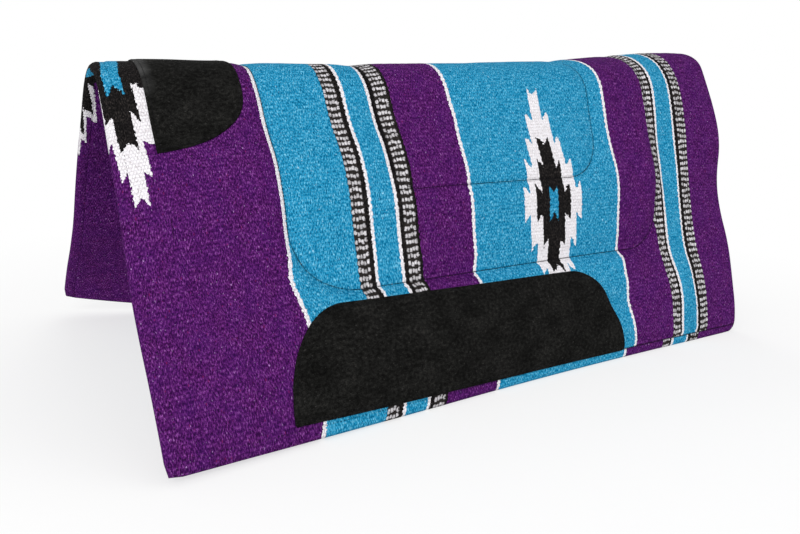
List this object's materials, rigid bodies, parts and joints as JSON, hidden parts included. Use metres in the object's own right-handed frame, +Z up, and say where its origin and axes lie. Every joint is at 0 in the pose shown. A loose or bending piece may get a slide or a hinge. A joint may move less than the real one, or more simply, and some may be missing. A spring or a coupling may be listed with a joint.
{
  "type": "saddle blanket",
  "caption": "Quilted western saddle blanket with woven stripes and serrated diamonds, felt and foam core and dark suede wear leathers, standing draped like a tent.",
  "frame": {"origin": "on the floor under the blanket, midway between its front and rear edges and midway between its two hems at their widest", "axes": "+X from the front edge over the withers to the rear edge, +Y towards the far flap, +Z up from the floor to the spine"},
  "size_m": [0.8636, 0.6126, 0.4032],
  "materials": {
    "woven_top": "coarse weft-faced wool and acrylic weave in heathered purple and turquoise with white and black figures",
    "woven_underside": "the same coarse weave, in the shade of the arch",
    "felt": "needled grey felt",
    "foam": "cream closed-cell foam",
    "suede": "matt black suede with a short nap"
  },
  "bodies": {
    "root": {"woven_top": "woven_top", "woven_underside": "woven_underside", "felt_core": "felt", "panel_foam": "foam", "seat_foam": "foam", "wither_wear_leather": "suede", "near_wear_leather": "suede", "far_wear_leather": "suede"}
  },
  "joints": []
}
